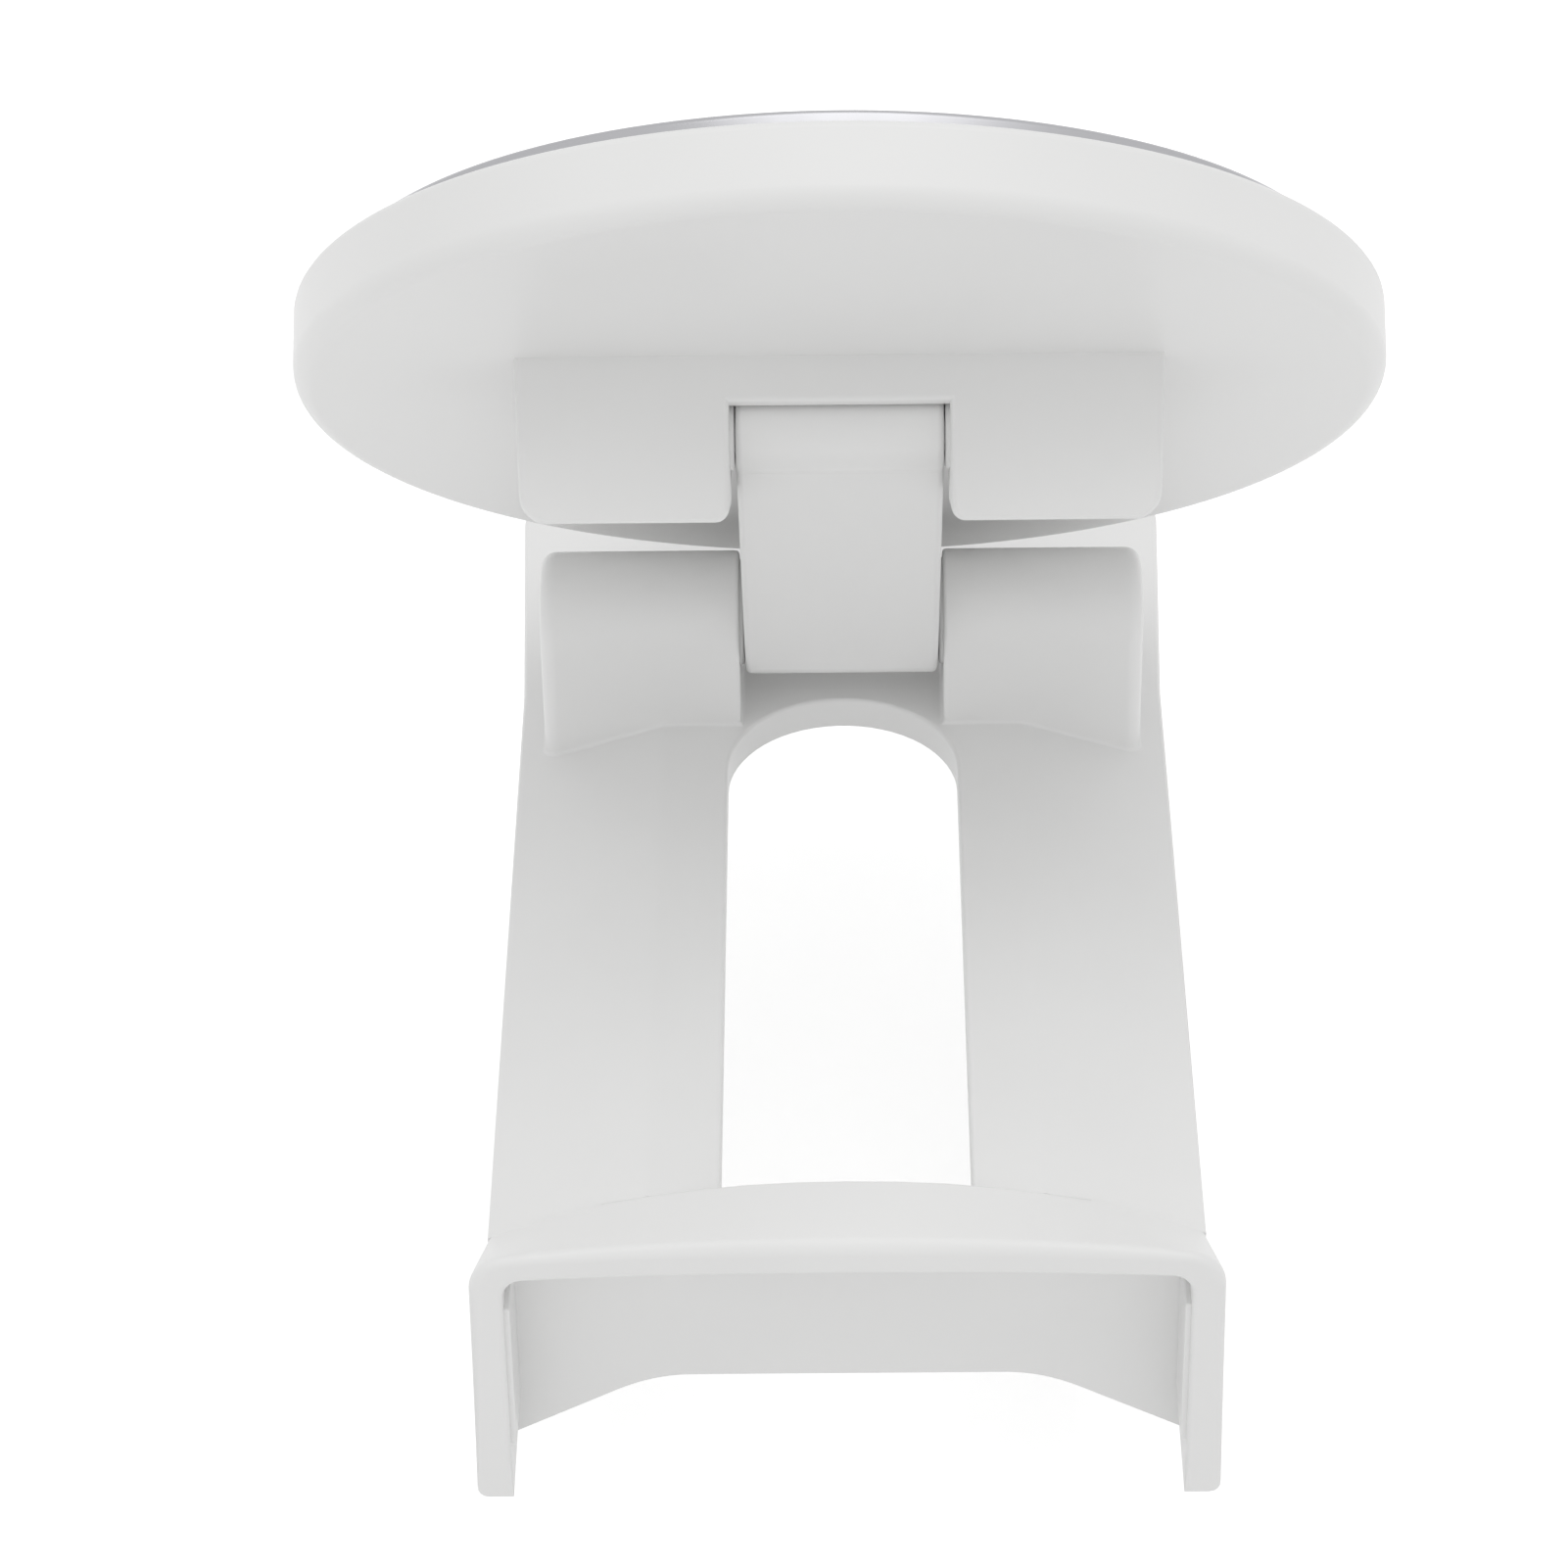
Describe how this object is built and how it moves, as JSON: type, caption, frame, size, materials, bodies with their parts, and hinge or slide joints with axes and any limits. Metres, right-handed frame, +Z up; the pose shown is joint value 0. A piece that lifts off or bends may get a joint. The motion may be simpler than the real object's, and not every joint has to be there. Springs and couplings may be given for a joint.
{
  "type": "bottle phone holder",
  "caption": "Clip that hooks over a bottle's carry loop and carries a round magnetic phone rest on a two-hinge link, so the rest can lean and fold.",
  "frame": {"origin": "on the underside of the clip's plate, midway across it, where the bottle's carry loop seats", "axes": "+X across the clip, +Y from the hooded mouth to the tail, +Z up out of the plate"},
  "size_m": [0.058, 0.0715, 0.0685],
  "materials": {
    "white_moulding": "satin moulded white plastic",
    "brushed_face": "brushed grey metal",
    "magnet_plating": "nickel plated",
    "pin_steel": "ground"
  },
  "bodies": {
    "clip": {"base_clip": "white_moulding", "lower_hinge_pin": "pin_steel"},
    "link": {"hinge_link": "white_moulding"},
    "head": {"disc_housing": "white_moulding", "face_plate": "brushed_face", "magnet_ring": "magnet_plating", "upper_hinge_pin": "pin_steel"}
  },
  "joints": [
    {"name": "lower_hinge", "type": "hinge", "parent": "clip", "child": "link", "pos_m": [0, 0.02075, 0.0074], "axis": [1, 0, 0], "range_deg": [-10, 30]},
    {"name": "upper_hinge", "type": "hinge", "parent": "link", "child": "head", "pos_m": [0, 0.00673, 0.02918], "axis": [1, 0, 0], "range_deg": [-2, 45]}
  ]
}
